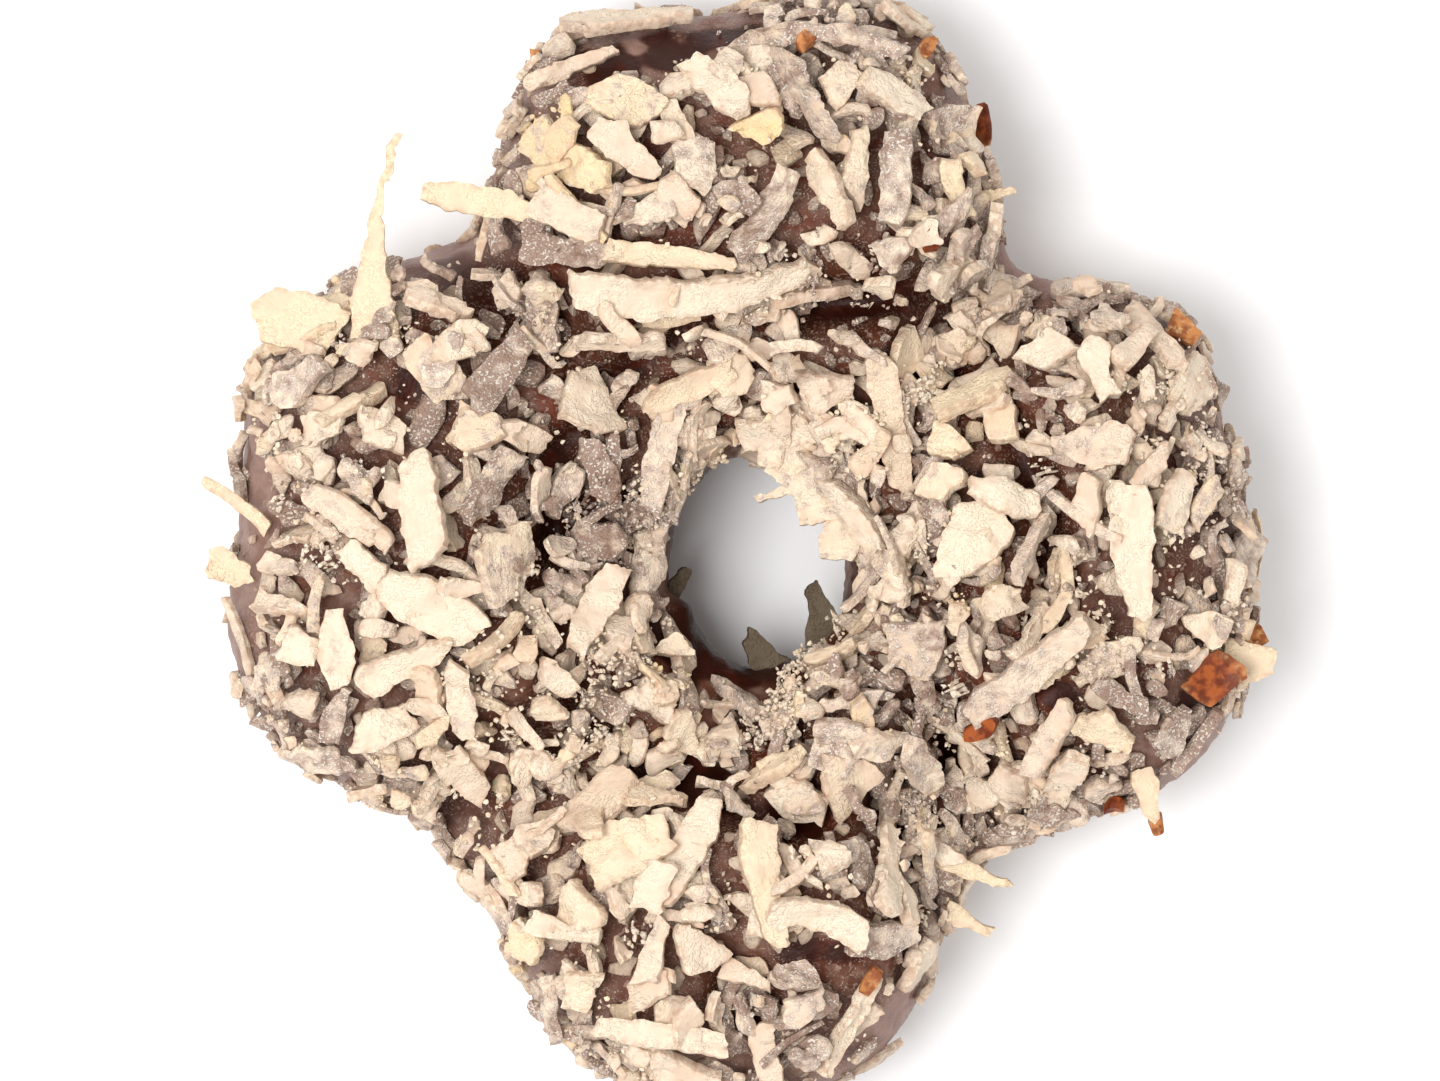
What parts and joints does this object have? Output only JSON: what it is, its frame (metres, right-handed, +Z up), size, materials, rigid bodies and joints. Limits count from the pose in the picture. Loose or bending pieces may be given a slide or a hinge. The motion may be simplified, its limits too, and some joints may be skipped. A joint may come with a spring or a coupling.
{
  "type": "coconut doughnut",
  "caption": "Old-fashioned ring doughnut with puffed lobes round a raised, split inner ring, cocoa-glazed and covered all over with torn coconut pieces.",
  "frame": {"origin": "Under the middle of the outline, on the surface that the doughnut rests on.", "axes": "+Z points up through the hole to the coconut-covered crown. +Y points to the longest lobe and +X to the lobe on its right, seen from above."},
  "size_m": [0.0848, 0.09, 0.0277],
  "materials": {
    "coconut": "matte, cream-white torn flesh, partly greyed by a film of glaze",
    "cocoa_glaze": "satin set glaze, mauve-brown where it is thin and dark red-brown in the splits",
    "coconut_rind": "matte orange-brown skin left on a few pieces",
    "sugar_crumbs": "powdery grains of coconut and dried sugar"
  },
  "bodies": {
    "root": {"doughnut": "coconut"}
  },
  "joints": []
}
